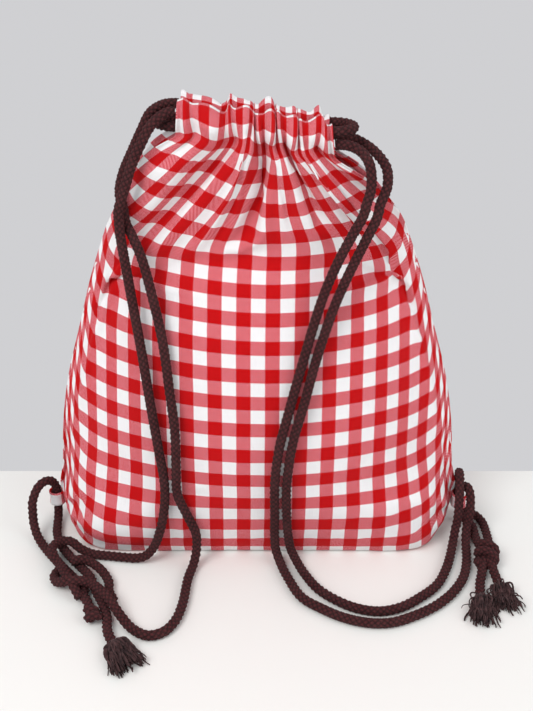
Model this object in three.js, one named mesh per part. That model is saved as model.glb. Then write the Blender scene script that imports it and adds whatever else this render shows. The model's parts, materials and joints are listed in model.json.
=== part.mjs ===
// Gingham drawstring sack: a flat cotton bag, gathered at the mouth by two braided cords.
// Each cord runs through both casings, leaves the mouth at its own side, falls down the front as a
// double shoulder strap, passes the tab at the lower corner and ends in a knot with loose tails.
// Millimetres. +Z is up, the front faces -Y, and the sack stands on z = 0.
import * as THREE from "three";

// Driving dimensions
const CLOTH = 1.6; // a cloth shell, with its loft
const GAP = 0.4; // air between pieces that would touch
const CORD_R = 3.5; // braided cord, 7 mm across
const CORD_SIDES = 10;
const FLEX_Z = 250; // where the body of the sack ends and the gathered neck begins
const CASING_HALF = 50; // half the length of the gathered casing
const CASING_Z = 313; // height of the casing's middle
const CASING_FALL = 0.12; // the casing slopes down towards +X
const CASING_FRONT_Y = -6;
const CASING_BACK_Y = 22;
const CASING_DEPTH = 10.6; // outside, along Y
const CASING_TALL = 20; // outside, along Z
const CASING_WALL = 1.3;
const CORD_LEVEL = 4.3; // the left cord runs this far above the casing's middle, the right cord below
const EDGE = 5.2; // half the thickness of the sack at its side edges
const FULLNESS = 2.6; // how squarely the cross-section fills out between the side edges
const BASE_FULLNESS = 16; // the same at the base, where the corners spread forward and back
const BASE_TALL = 62; // the height over which the one turns into the other
const SEAM_HALF = 0.75; // half the thickness of a folded seam allowance
const SEAM_DEEP = 10; // width of a seam allowance

// The sack's body: height, half width, front and back of the middle
const BODY = [
  [0, 147, -43, 42],
  [14, 149, -49, 48],
  [45, 151, -54, 54],
  [85, 148, -55, 55],
  [125, 141, -49, 53],
  [170, 128, -39, 48],
  [210, 116, -28, 42],
  [FLEX_Z, 100, -19, 35],
];

// The gathered neck, up to the casings
const NECK = [
  [FLEX_Z + GAP, 100, -19, 35],
  [264, 91, -17, 33],
  [276, 83, -15, 31],
  [289, 71, -13, 29],
  [CASING_Z - CASING_TALL / 2 - GAP, 51, -11.3, 27.3],
];

const red = new THREE.Color(0xc81020);
const white = new THREE.Color(0xf2eeee);
const brown = new THREE.Color(0x4a3234);

const sack = new THREE.Group();

function addPiece(name, geometry, color, roughness = 0.95) {
  const material = new THREE.MeshStandardMaterial({ color, roughness, metalness: 0 });
  const mesh = new THREE.Mesh(geometry, material);
  mesh.name = name;
  sack.add(mesh);
  return mesh;
}

// ---------------------------------------------------------------- cloth

// A closed solid made by bending a unit box: place(u, v, side) gives each point, with u and v
// from 0 to 1 over the broad faces and side 0 on one face and 1 on the other.
function bentBox(uSteps, vSteps, place) {
  const geometry = new THREE.BoxGeometry(1, 1, 1, uSteps, 1, vSteps);
  const position = geometry.attributes.position;
  for (let i = 0; i < position.count; i += 1) {
    const u = position.getX(i) + 0.5;
    const side = position.getY(i) + 0.5;
    const v = position.getZ(i) + 0.5;
    const point = place(u, v, side);
    position.setXYZ(i, point.x, point.y, point.z);
  }
  geometry.computeVertexNormals();
  return geometry;
}

// Curves through the stations: (half width, front or back, height), all with the same heights.
function stationCurves(stations) {
  const through = (pick) => new THREE.CatmullRomCurve3(
    stations.map((s) => new THREE.Vector3(s[1], pick(s), s[0])),
    false,
    "catmullrom",
    0.5,
  );
  return {
    front: through((s) => s[2]),
    back: through((s) => s[3]),
    seam: through((s) => (s[2] + s[3]) / 2),
  };
}

const bodyCurves = stationCurves(BODY);
const neckCurves = stationCurves(NECK);

// A point of the outer skin: across runs from -1 to 1 between the side edges, and rise is 0 at
// the first station and 1 at the last.
function skinPoint(curves, isFront, across, rise) {
  const face = (isFront ? curves.front : curves.back).getPoint(rise);
  const seamY = curves.seam.getPoint(rise).y;
  const outward = isFront ? -1 : 1;
  const depth = Math.abs(face.y - seamY) - EDGE;
  const low = 1 - THREE.MathUtils.smoothstep(face.z, 0, BASE_TALL);
  const fullness = THREE.MathUtils.lerp(FULLNESS, BASE_FULLNESS, low);
  const bulge = EDGE + depth * (1 - Math.abs(across) ** fullness);
  return new THREE.Vector3(across * face.x, seamY + outward * bulge, face.z);
}

// A body panel from the bottom seam, forward under the sack, and up to the flex line.
const BASE_SHARE = 0.2; // the share of a panel's rows that lie under the sack

function panelPoint(isFront, across, v) {
  if (v >= BASE_SHARE) {
    const rise = (v - BASE_SHARE) / (1 - BASE_SHARE);
    return skinPoint(bodyCurves, isFront, across, rise);
  }
  const rim = skinPoint(bodyCurves, isFront, across, 0);
  const seamY = bodyCurves.seam.getPoint(0).y + (isFront ? -1 : 1) * (SEAM_HALF + GAP);
  rim.y = THREE.MathUtils.lerp(seamY, rim.y, v / BASE_SHARE);
  return rim;
}

// The neck follows the slope of the casing more and more towards its top.
function neckPoint(isFront, across, v) {
  const point = skinPoint(neckCurves, isFront, across, v);
  point.z -= CASING_FALL * point.x * v;
  return point;
}

// Gives an outer skin its thickness, measured inwards across the cloth. From the flex line up it
// is measured level, so that the edges of body and neck stay clear of each other.
function clothShell(skin, isFront, uSteps, vSteps) {
  const nudge = 0.01;
  return bentBox(uSteps, vSteps, (u, v, side) => {
    const across = 2 * u - 1;
    const point = skin(isFront, across, v);
    const low = skin(isFront, across, Math.max(0, v - nudge));
    const high = skin(isFront, across, Math.min(1, v + nudge));
    const left = skin(isFront, Math.max(-1, across - nudge), v);
    const right = skin(isFront, Math.min(1, across + nudge), v);
    const inward = high.sub(low).cross(right.sub(left)).normalize();
    if (!isFront) inward.negate();
    if (point.z > FLEX_Z - 1) inward.setZ(0);
    const isInner = (side > 0.5) === isFront;
    return isInner ? point.addScaledVector(inward, CLOTH) : point;
  });
}

// A seam allowance folded to the inside, with a rolled edge that closes the two panels.
function sideSeam(direction) {
  const profile = [
    [-SEAM_DEEP, SEAM_HALF],
    [GAP, SEAM_HALF],
    [GAP + 0.1, EDGE],
    [GAP + 1.4, EDGE],
    [GAP + 2.2, EDGE - 1.5],
  ];
  const [lowest, highest] = [0.01, 0.995]; // it stops just short of the panels' ends
  const columns = profile.length - 1;
  return bentBox(columns, 24, (u, v, side) => {
    const column = direction > 0 ? Math.round(u * columns) : columns - Math.round(u * columns);
    const [reach, half] = profile[column];
    const edge = bodyCurves.seam.getPoint(THREE.MathUtils.lerp(lowest, highest, v));
    return new THREE.Vector3(direction * (edge.x + reach), edge.y + (2 * side - 1) * half, edge.z);
  });
}

// The bottom seam allowance stands up inside the sack, between the two side seams.
function bottomSeam() {
  const sideClearance = SEAM_DEEP + 6;
  const floorClearance = 0.2;
  const length = 2 * (BODY[0][1] - sideClearance);
  const bar = new THREE.BoxGeometry(length, 2 * SEAM_HALF, SEAM_DEEP, 8, 1, 1);
  bar.translate(0, bodyCurves.seam.getPoint(0).y, SEAM_DEEP / 2 + floorClearance);
  return bar;
}

// ---------------------------------------------------------------- casings

function casingZ(x) {
  return CASING_Z - CASING_FALL * x;
}

function roundedSlot(width, height, radius, PathClass) {
  const x = width / 2 - radius;
  const y = height / 2 - radius;
  const path = new PathClass();
  path.absarc(x, y, radius, 0, Math.PI / 2);
  path.absarc(-x, y, radius, Math.PI / 2, Math.PI);
  path.absarc(-x, -y, radius, Math.PI, 1.5 * Math.PI);
  path.absarc(x, -y, radius, 1.5 * Math.PI, 2 * Math.PI);
  path.closePath();
  return path;
}

// A flat tube of cloth along X, with the channel that the cords run in.
function casing(y) {
  const outline = roundedSlot(CASING_DEPTH, CASING_TALL, 3.6, THREE.Shape);
  const inside = roundedSlot(
    CASING_DEPTH - 2 * CASING_WALL,
    CASING_TALL - 2 * CASING_WALL,
    2.6,
    THREE.Path,
  );
  outline.holes.push(inside);
  const tube = new THREE.ExtrudeGeometry(outline, {
    depth: 2 * CASING_HALF,
    steps: 6,
    curveSegments: 3,
    bevelEnabled: false,
  });
  tube.translate(0, 0, -CASING_HALF);
  const turn = new THREE.Matrix4().makeBasis(
    new THREE.Vector3(0, 1, 0),
    new THREE.Vector3(0, 0, 1),
    new THREE.Vector3(1, 0, 0),
  );
  tube.applyMatrix4(turn);
  const slope = new THREE.Matrix4().set(
    1, 0, 0, 0,
    0, 1, 0, y,
    -CASING_FALL, 0, 1, CASING_Z,
    0, 0, 0, 1,
  );
  return tube.applyMatrix4(slope);
}

// ---------------------------------------------------------------- corner tabs

const TAB_LOW = 16;
const TAB_HIGH = 27;
const LEFT_HOLE = { x: -159.3, y: 0, halfX: 4.6, halfY: 4.6 };
const RIGHT_HOLE = { x: 159.3, y: 0, halfX: 4.6, halfY: 8.8 };
const TAB_WALL = 1.2;

// A loop of doubled cloth tape, closed around the cord and open up and down.
function cornerTab(hole) {
  const halfX = hole.halfX + TAB_WALL;
  const halfY = hole.halfY + TAB_WALL;
  const sliver = 0.01; // keeps the corner arcs from meeting in a point
  const outline = roundedSlot(2 * halfX, 2 * halfY, halfX - sliver, THREE.Shape);
  outline.holes.push(
    roundedSlot(2 * hole.halfX, 2 * hole.halfY, hole.halfX - sliver, THREE.Path),
  );
  const loop = new THREE.ExtrudeGeometry(outline, {
    depth: TAB_HIGH - TAB_LOW,
    steps: 1,
    curveSegments: 6,
    bevelEnabled: false,
  });
  return loop.translate(hole.x, hole.y, TAB_LOW);
}

// ---------------------------------------------------------------- cords

// A round cord along a smooth curve through hand-placed points.
function cord(points, radius = CORD_R) {
  const curve = new THREE.CatmullRomCurve3(
    points.map((p) => new THREE.Vector3(...p)),
    false,
    "centripetal",
  );
  const section = new THREE.Shape().absarc(0, 0, radius, 0, 2 * Math.PI);
  return new THREE.ExtrudeGeometry(section, {
    steps: Math.max(2, Math.round(curve.getLength() / 14)),
    curveSegments: CORD_SIDES / 2,
    extrudePath: curve,
    bevelEnabled: false,
  });
}

// A knot or the bulb at a cord's end: an egg with its long axis turned in the ground plane.
function lump(x, y, z, length, width, height, turn) {
  const egg = new THREE.SphereGeometry(1, 14, 10);
  egg.scale(length / 2, width / 2, height / 2);
  egg.rotateZ(THREE.MathUtils.degToRad(turn));
  return egg.translate(x, y, z);
}

// A frayed end: a brush of loose strands that widens away from the cord and rests on the ground.
function brush(from, to, spread) {
  const start = new THREE.Vector3(...from);
  const along = new THREE.Vector3(...to).sub(start);
  const profile = [
    [0, 0],
    [CORD_R, 0],
    [0.8 * spread, 0.35],
    [spread, 0.75],
    [0.6 * spread, 1],
    [0, 1],
  ].map(([radius, share]) => new THREE.Vector2(radius, share * along.length()));
  const tuft = new THREE.LatheGeometry(profile, 14);
  tuft.scale(1, 1, 0.55);
  const y = along.clone().normalize();
  const x = new THREE.Vector3().crossVectors(y, new THREE.Vector3(0, 0, 1)).normalize();
  const z = new THREE.Vector3().crossVectors(x, y);
  tuft.applyMatrix4(new THREE.Matrix4().makeBasis(x, y, z));
  return tuft.translate(start.x, start.y, start.z);
}

// The half hoop that a cord makes outside the far end of the casings, from front to back.
function bight(direction, level) {
  const radius = (CASING_BACK_Y - CASING_FRONT_Y) / 2;
  const middleY = (CASING_BACK_Y + CASING_FRONT_Y) / 2;
  const points = [];
  for (let i = 0; i <= 8; i += 1) {
    const angle = -Math.PI / 2 + (Math.PI * i) / 8;
    const x = CASING_HALF + GAP + radius * Math.cos(angle);
    points.push([
      direction * x,
      middleY + radius * Math.sin(angle),
      casingZ(direction * CASING_HALF) + level,
    ]);
  }
  return cord(points);
}

function casingRun(y, level) {
  return cord([-1, -0.5, 0, 0.5, 1].map((share) => {
    const x = share * (CASING_HALF - 1);
    return [x, y, casingZ(x) + level];
  }));
}

// Routes, from the casing outwards. The floor stretches lie one cord radius above z = 0.
const LEFT_FRONT_NECK = [
  [-51.5, -6, 323.6], [-55, -6.6, 323.8], [-60, -9, 322], [-67, -12, 316], [-73, -14, 306],
  [-80, -15, 292], [-85, -16, 278], [-89, -17, 267], [-90.5, -17.5, 261], [-90.5, -17.5, 256.6],
];
const LEFT_BACK_NECK = [
  [-51.5, 22, 323.6], [-55, 22, 323.8], [-62, 22, 322.8], [-70, 18.5, 318.5], [-76, 11, 308],
  [-82, 4, 296], [-88, -2, 283], [-90.5, -6.5, 271], [-88.5, -9, 261.5], [-88, -9.5, 256.8],
];
const LEFT_FRONT_RUN = [
  [-90.5, -17.5, 256], [-90.5, -17.8, 249], [-85.5, -23, 207], [-79, -35, 168],
  [-74, -44.5, 133], [-69, -52, 97], [-66, -55.5, 72], [-67, -56.5, 52], [-71, -57.6, 32],
  [-77, -56, 15], [-84, -55.5, 6.5], [-93, -54.5, 3.8], [-111, -52, 3.8], [-124, -50, 4],
  [-133, -48, 7], [-141, -45, 11.8], [-149, -46, 12.4], [-153, -52, 12.6], [-150, -62, 12.2],
  [-144, -70, 10],
];
const LEFT_BACK_RUN = [
  [-88, -9.6, 255.8], [-87, -10.4, 251], [-82, -15, 242], [-77, -19, 230], [-71, -26, 208],
  [-64, -36, 176], [-60, -45, 142], [-57, -52, 114], [-57, -56, 86], [-57, -57, 64],
  [-51, -57, 46], [-45, -57, 29], [-45, -58, 14], [-47, -63, 5.6], [-50, -76, 3.8],
  [-52, -104, 3.8], [-56, -121, 3.8], [-63, -131, 3.8], [-73, -134, 3.8], [-84, -128, 4],
  [-94, -117, 6.5], [-103, -106, 11.4], [-111, -97, 11.6], [-117, -91, 10.5],
];
const LEFT_RISER = [
  [-141, -68, 3.8], [-148, -60, 3.8], [-157, -49, 3.8], [-165, -38, 4], [-170.5, -30, 6.5],
  [-173, -25.5, 11.5],
];
const LEFT_TAB_PASS = [
  [-173.8, -23.5, 14], [-174, -21.5, 22], [-173.5, -20, 30], [-170, -15, 39], [-166, -10, 41.5],
  [-162, -4.5, 39], [-159.6, -0.5, 32], [-159.3, 0, 26], [-159.3, -0.1, 19], [-159.2, -1.2, 13],
  [-159, -5, 6.8], [-158.6, -11, 4.1], [-158.4, -13, 3.9],
];
const LEFT_RETURN = [
  [-158.1, -14.4, 3.8], [-156.5, -24, 3.8], [-151, -38, 3.8], [-142, -51, 3.8],
  [-132, -63, 3.8],
];
const LEFT_STUB = [[-123.2, -94.6, 4], [-119, -102, 4], [-115.5, -110, 4.2]];
const LEFT_TAIL = [
  [-114.6, -91.4, 3.9], [-109, -101.5, 3.8], [-103.5, -115, 3.8], [-100.5, -130, 3.8],
  [-95, -142, 4.4],
];
const RIGHT_FRONT_NECK = [
  [51.5, -6, 302.7], [55, -6.3, 303], [61, -7.5, 302.5], [68, -10, 299.5], [73, -13, 293.5],
  [75, -16, 285], [74.5, -19, 275], [72, -21.5, 267.5], [71.5, -22, 264.8],
];
const RIGHT_BACK_NECK = [
  [51.5, 22, 302.7], [55, 22, 303], [62, 21, 302], [72, 14.5, 299], [80.5, 5, 294],
  [86, -5, 287], [86, -13, 277], [82, -17.8, 268], [81, -18.5, 264.8],
];
const RIGHT_FRONT_RUN = [
  [71.4, -22.1, 264], [69, -23.5, 258], [64.5, -25, 250], [54, -27.5, 229], [44, -34, 205],
  [31, -46, 162], [22, -53, 128], [16, -58, 104], [13, -60, 76], [13, -59, 48], [13, -56, 26],
  [14, -55, 12], [17, -60, 5], [22, -75, 3.8], [32, -97, 3.8], [45, -108, 3.8],
  [60, -117, 3.8], [76, -122, 3.8], [92, -122, 3.8], [108, -116, 3.8], [125, -106, 3.8],
  [140, -92, 3.8], [151, -75, 3.8], [156.5, -58, 3.8], [159, -43, 4], [160.5, -33, 7.5],
  [161.5, -28.5, 13],
];
const RIGHT_BACK_RUN = [
  [81, -18.8, 264], [79, -21, 257], [74, -23.5, 247], [63, -27.5, 224], [52.5, -35, 201],
  [40.5, -45, 165], [33, -52, 136], [25.5, -57, 108], [21.5, -59.5, 76], [21.5, -58.5, 48],
  [23, -56, 26], [25, -54, 12.5], [29, -58, 5], [34, -70, 3.8], [43, -87, 3.8],
  [55, -99, 3.8], [70, -108, 3.8], [86, -111, 3.8], [101, -107, 3.8], [116, -97, 3.8],
  [130, -84, 3.8], [140, -66, 3.8], [146, -50, 4], [150.5, -36, 7], [153, -29, 13],
];
const RIGHT_TAB_PASS_FRONT = [
  [162.2, -27, 15.5], [163.2, -26, 23], [163.6, -23.5, 31], [163.6, -19, 37], [163, -14, 38.6],
  [161.4, -8.6, 37], [159.7, -5, 32], [159.3, -4.3, 26], [159.3, -4.3, 20], [159.6, -4.6, 14],
  [161.6, -6, 8], [165.2, -8.6, 4.6], [167, -10.5, 4],
];
const RIGHT_TAB_PASS_BACK = [
  [154, -27.3, 15.5], [154.6, -25.5, 24], [155, -22.5, 32], [155.8, -17, 40], [156.8, -10, 45],
  [157.6, -2.5, 45.6], [158.8, 2.8, 40.5], [159.3, 4.3, 33], [159.3, 4.3, 24],
  [159.4, 4.3, 16.5], [160.8, 4.3, 11], [164.6, 4, 6.8], [170, 1.6, 4.4], [173, -0.5, 4],
];
const RIGHT_RETURN_FRONT = [
  [168.3, -12.4, 3.8], [169.4, -18, 3.8], [169, -30, 3.8], [169.5, -42, 5],
];
const RIGHT_RETURN_BACK = [
  [174.6, -2.1, 3.8], [177.8, -9, 3.8], [178.5, -22, 3.8], [177, -41, 5],
];
const RIGHT_TAIL_FRONT = [[165.2, -70.8, 4.6], [161.5, -82, 3.8], [158.5, -97, 4]];
const RIGHT_TAIL_BACK = [[173.9, -70.4, 4.6], [174.5, -79, 3.9], [174.5, -86, 4]];

// ---------------------------------------------------------------- assembly

addPiece("front_panel", clothShell(panelPoint, true, 18, 20), red);
addPiece("back_panel", clothShell(panelPoint, false, 18, 20), red);
addPiece("front_gather", clothShell(neckPoint, true, 18, 5), red);
addPiece("back_gather", clothShell(neckPoint, false, 18, 5), red);
addPiece("left_side_seam", sideSeam(-1), white);
addPiece("right_side_seam", sideSeam(1), white);
addPiece("bottom_seam", bottomSeam(), white);
addPiece("front_casing", casing(CASING_FRONT_Y), red);
addPiece("back_casing", casing(CASING_BACK_Y), red);
addPiece("left_corner_tab", cornerTab(LEFT_HOLE), red);
addPiece("right_corner_tab", cornerTab(RIGHT_HOLE), red);

for (const [name, level, farEnd] of [["left", CORD_LEVEL, 1], ["right", -CORD_LEVEL, -1]]) {
  addPiece(`${name}_cord_front_casing_run`, casingRun(CASING_FRONT_Y, level), brown);
  addPiece(`${name}_cord_back_casing_run`, casingRun(CASING_BACK_Y, level), brown);
  addPiece(`${name}_cord_bight`, bight(farEnd, level), brown);
}

const CORD_PIECES = {
  left_front_neck: LEFT_FRONT_NECK,
  left_back_neck: LEFT_BACK_NECK,
  left_front_strap: LEFT_FRONT_RUN,
  left_back_strap: LEFT_BACK_RUN,
  left_tab_riser: LEFT_RISER,
  left_tab_pass: LEFT_TAB_PASS,
  left_tab_return: LEFT_RETURN,
  left_stub: LEFT_STUB,
  left_tail: LEFT_TAIL,
  right_front_neck: RIGHT_FRONT_NECK,
  right_back_neck: RIGHT_BACK_NECK,
  right_front_strap: RIGHT_FRONT_RUN,
  right_back_strap: RIGHT_BACK_RUN,
  right_tab_pass_front: RIGHT_TAB_PASS_FRONT,
  right_tab_pass_back: RIGHT_TAB_PASS_BACK,
  right_return_front: RIGHT_RETURN_FRONT,
  right_return_back: RIGHT_RETURN_BACK,
  right_tail_front: RIGHT_TAIL_FRONT,
  right_tail_back: RIGHT_TAIL_BACK,
};
for (const [name, route] of Object.entries(CORD_PIECES)) addPiece(name, cord(route), brown);

addPiece("left_knot", lump(-129, -80, 7.2, 30, 27, 13.8, 120), brown);
addPiece("left_stub_bulb", lump(-113, -117.5, 5.8, 15, 12, 11.4, 100), brown);
addPiece("left_frayed_end", brush([-94.7, -142.6, 6.6], [-80, -165, 6.6], 11), brown);
addPiece("right_knot", lump(171, -56.7, 8.6, 28.5, 18, 16.6, 80), brown);
addPiece("right_frayed_front", brush([158.3, -98, 6.6], [155, -126, 6.6], 10), brown);
addPiece("right_frayed_back", brush([174.6, -87, 6.6], [175, -111, 6.6], 9), brown);

export default sack;
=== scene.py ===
"""Gingham drawstring sack: braided cords, gathered cotton cloth, materials, camera and light.

Metres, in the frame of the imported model: +Z is up and the front faces -Y.
"""
import json
import math

import bpy
import numpy as np
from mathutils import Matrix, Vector

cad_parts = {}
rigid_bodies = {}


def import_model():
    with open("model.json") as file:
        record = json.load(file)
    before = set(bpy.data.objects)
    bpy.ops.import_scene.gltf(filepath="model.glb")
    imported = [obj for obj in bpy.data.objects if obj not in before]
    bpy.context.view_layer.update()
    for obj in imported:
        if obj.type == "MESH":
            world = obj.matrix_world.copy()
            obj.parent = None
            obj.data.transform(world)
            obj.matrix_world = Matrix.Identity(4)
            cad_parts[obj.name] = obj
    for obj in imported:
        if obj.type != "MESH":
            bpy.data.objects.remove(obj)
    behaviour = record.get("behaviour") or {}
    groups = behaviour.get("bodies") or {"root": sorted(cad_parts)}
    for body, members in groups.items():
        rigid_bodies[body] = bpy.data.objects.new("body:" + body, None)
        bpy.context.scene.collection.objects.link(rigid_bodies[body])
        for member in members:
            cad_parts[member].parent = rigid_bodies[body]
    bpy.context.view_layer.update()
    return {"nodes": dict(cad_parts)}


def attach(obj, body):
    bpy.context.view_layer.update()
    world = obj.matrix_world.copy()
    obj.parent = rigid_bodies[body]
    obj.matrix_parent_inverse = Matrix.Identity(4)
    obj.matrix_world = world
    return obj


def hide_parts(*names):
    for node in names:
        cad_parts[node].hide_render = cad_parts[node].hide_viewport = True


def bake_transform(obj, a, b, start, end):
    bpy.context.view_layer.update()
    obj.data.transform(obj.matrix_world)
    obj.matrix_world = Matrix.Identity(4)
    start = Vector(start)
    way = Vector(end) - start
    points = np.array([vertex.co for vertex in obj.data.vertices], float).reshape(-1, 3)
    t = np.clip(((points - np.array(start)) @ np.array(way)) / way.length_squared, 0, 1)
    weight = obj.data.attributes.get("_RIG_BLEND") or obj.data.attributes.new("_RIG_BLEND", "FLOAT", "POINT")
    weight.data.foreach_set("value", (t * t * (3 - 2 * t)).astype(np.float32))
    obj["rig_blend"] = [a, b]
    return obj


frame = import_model()

# ---------------------------------------------------------------- driving dimensions

CORD_R = 0.0035  # braided cord, 7 mm across
BRAID_STRANDS = 5  # strands that run each way round the cord
BRAID_PITCH = 0.0041  # along the cord, from one crossing of two strands to the next
BRAID_RELIEF = 0.0013  # how far a strand stands out
BRAID_FUZZ = 0.0002  # how far its crown stands beyond the cord's nominal radius
LYING_Z = 0.0038  # the middle of a cord that lies on the floor
RING_SIDES = 32
RING_STEP = 0.0008

CHECK = 0.010  # one square of the gingham
THREAD = 0.0003  # from one thread to the next
RED_SHARE = 0.66  # how much of a mixed square the red threads cover
CLOTH_WIDE = 0.330  # one panel, flat, between the side seams
CLOTH_TALL = 0.358  # one panel, flat, from the bottom seam to the foot of the casing
CLOTH_THICK = 0.0006
GRID = 0.0044  # the size of one cloth face in the simulation

CASING_HALF = 0.050
CASING_Z = 0.313
CASING_FALL = 0.12  # the casing slopes down towards +X
CASING_FRONT_Y = -0.006
CASING_BACK_Y = 0.022
CASING_DEPTH = 0.0106
CASING_TALL = 0.020
TAB_X = 0.1593  # the middle of the hole in each corner tab
CORD_LEVEL = 0.0043  # the left cord runs this far above the casing's middle, the right cord below

FOOT_Z = 0.3026  # the foot of the casing at its middle

# The sack's body and neck: height, half width, front and back of the middle
STATIONS = [
    (0, 0.147, -0.043, 0.042),
    (0.014, 0.149, -0.049, 0.048),
    (0.045, 0.151, -0.054, 0.054),
    (0.085, 0.148, -0.055, 0.055),
    (0.125, 0.141, -0.049, 0.053),
    (0.170, 0.128, -0.039, 0.048),
    (0.210, 0.116, -0.028, 0.042),
    (0.250, 0.100, -0.019, 0.035),
    (0.264, 0.091, -0.017, 0.033),
    (0.276, 0.083, -0.015, 0.031),
    (0.289, 0.071, -0.013, 0.029),
    (FOOT_Z, 0.051, -0.0113, 0.0273),
]
FULLNESS = 2.6  # how squarely the cross-section fills out between the side edges
BASE_FULLNESS = 16  # the same at the base, where the corners spread forward and back
BASE_TALL = 0.062  # the height over which the one turns into the other

# ---------------------------------------------------------------- camera

camera = bpy.data.objects.new("camera", bpy.data.cameras.new("camera"))
bpy.context.collection.objects.link(camera)
camera.location = (0.007, -0.5875, 0.446)
camera.rotation_euler = (math.radians(63), 0, 0)
camera.data.lens = 45.57
camera.data.sensor_width = 36
bpy.context.scene.camera = camera

# ---------------------------------------------------------------- routes of the cords

LEFT_FRONT_NECK = [
    (-0.0515, -0.006, 0.3236), (-0.055, -0.0066, 0.3238), (-0.06, -0.009, 0.322),
    (-0.067, -0.012, 0.316), (-0.073, -0.014, 0.306), (-0.08, -0.015, 0.292),
    (-0.085, -0.016, 0.278), (-0.089, -0.017, 0.267), (-0.0905, -0.0175, 0.261),
    (-0.0905, -0.0175, 0.2566),
]
LEFT_BACK_NECK = [
    (-0.0515, 0.022, 0.3236), (-0.055, 0.022, 0.3238), (-0.062, 0.022, 0.3228),
    (-0.07, 0.0185, 0.3185), (-0.076, 0.011, 0.308), (-0.082, 0.004, 0.296),
    (-0.088, -0.002, 0.283), (-0.0905, -0.0065, 0.271), (-0.0885, -0.009, 0.2615),
    (-0.088, -0.0095, 0.2568),
]
LEFT_FRONT_RUN = [
    (-0.0905, -0.0175, 0.256), (-0.0905, -0.0178, 0.249), (-0.0855, -0.023, 0.207),
    (-0.079, -0.035, 0.168), (-0.074, -0.0445, 0.133), (-0.069, -0.052, 0.097),
    (-0.066, -0.0555, 0.072), (-0.067, -0.0565, 0.052), (-0.071, -0.0576, 0.032),
    (-0.077, -0.056, 0.015), (-0.084, -0.0555, 0.0065), (-0.093, -0.0545, 0.0038),
    (-0.111, -0.052, 0.0038), (-0.124, -0.05, 0.004), (-0.133, -0.048, 0.007),
    (-0.141, -0.045, 0.0118), (-0.149, -0.046, 0.0124), (-0.153, -0.052, 0.0126),
    (-0.15, -0.062, 0.0122), (-0.144, -0.07, 0.01),
]
LEFT_BACK_RUN = [
    (-0.088, -0.0096, 0.2558), (-0.087, -0.0104, 0.251), (-0.082, -0.015, 0.242),
    (-0.077, -0.019, 0.23), (-0.071, -0.026, 0.208), (-0.064, -0.036, 0.176),
    (-0.06, -0.045, 0.142), (-0.057, -0.052, 0.114), (-0.057, -0.056, 0.086),
    (-0.057, -0.057, 0.064), (-0.051, -0.057, 0.046), (-0.045, -0.057, 0.029),
    (-0.045, -0.058, 0.014), (-0.047, -0.063, 0.0056), (-0.05, -0.076, 0.0038),
    (-0.052, -0.104, 0.0038), (-0.056, -0.121, 0.0038), (-0.063, -0.131, 0.0038),
    (-0.073, -0.134, 0.0038), (-0.084, -0.128, 0.004), (-0.094, -0.117, 0.0065),
    (-0.103, -0.106, 0.0114), (-0.111, -0.097, 0.0116), (-0.117, -0.091, 0.0105),
]
LEFT_RISER = [
    (-0.141, -0.068, 0.0038), (-0.148, -0.06, 0.0038), (-0.157, -0.049, 0.0038),
    (-0.165, -0.038, 0.004), (-0.1705, -0.03, 0.0065), (-0.173, -0.0255, 0.0115),
]
LEFT_TAB_PASS = [
    (-0.1738, -0.0235, 0.014), (-0.174, -0.0215, 0.022), (-0.1735, -0.02, 0.03),
    (-0.17, -0.015, 0.039), (-0.166, -0.01, 0.0415), (-0.162, -0.0045, 0.039),
    (-0.1596, -0.0005, 0.032), (-0.1593, 0, 0.026), (-0.1593, -0.0001, 0.019),
    (-0.1592, -0.0012, 0.013), (-0.159, -0.005, 0.0068), (-0.1586, -0.011, 0.0041),
    (-0.1584, -0.013, 0.0039),
]
LEFT_RETURN = [
    (-0.1581, -0.0144, 0.0038), (-0.1565, -0.024, 0.0038), (-0.151, -0.038, 0.0038),
    (-0.142, -0.051, 0.0038), (-0.132, -0.063, 0.0038),
]
LEFT_STUB = [
    (-0.1232, -0.0946, 0.004), (-0.119, -0.102, 0.004), (-0.1155, -0.11, 0.0042),
]
LEFT_TAIL = [
    (-0.1146, -0.0914, 0.0039), (-0.109, -0.1015, 0.0038), (-0.1035, -0.115, 0.0038),
    (-0.1005, -0.13, 0.0038), (-0.095, -0.142, 0.0044),
]
RIGHT_FRONT_NECK = [
    (0.0515, -0.006, 0.3027), (0.055, -0.0063, 0.303), (0.061, -0.0075, 0.3025),
    (0.068, -0.01, 0.2995), (0.073, -0.013, 0.2935), (0.075, -0.016, 0.285),
    (0.0745, -0.019, 0.275), (0.072, -0.0215, 0.2675), (0.0715, -0.022, 0.2648),
]
RIGHT_BACK_NECK = [
    (0.0515, 0.022, 0.3027), (0.055, 0.022, 0.303), (0.062, 0.021, 0.302), (0.072, 0.0145, 0.299),
    (0.0805, 0.005, 0.294), (0.086, -0.005, 0.287), (0.086, -0.013, 0.277), (0.082, -0.0178, 0.268),
    (0.081, -0.0185, 0.2648),
]
RIGHT_FRONT_RUN = [
    (0.0714, -0.0221, 0.264), (0.069, -0.0235, 0.258), (0.0645, -0.025, 0.25),
    (0.054, -0.0275, 0.229), (0.044, -0.034, 0.205), (0.031, -0.046, 0.162), (0.022, -0.053, 0.128),
    (0.016, -0.058, 0.104), (0.013, -0.06, 0.076), (0.013, -0.059, 0.048), (0.013, -0.056, 0.026),
    (0.014, -0.055, 0.012), (0.017, -0.06, 0.005), (0.022, -0.075, 0.0038), (0.032, -0.097, 0.0038),
    (0.045, -0.108, 0.0038), (0.06, -0.117, 0.0038), (0.076, -0.122, 0.0038),
    (0.092, -0.122, 0.0038), (0.108, -0.116, 0.0038), (0.125, -0.106, 0.0038),
    (0.14, -0.092, 0.0038), (0.151, -0.075, 0.0038), (0.1565, -0.058, 0.0038),
    (0.159, -0.043, 0.004), (0.1605, -0.033, 0.0075), (0.1615, -0.0285, 0.013),
]
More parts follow.
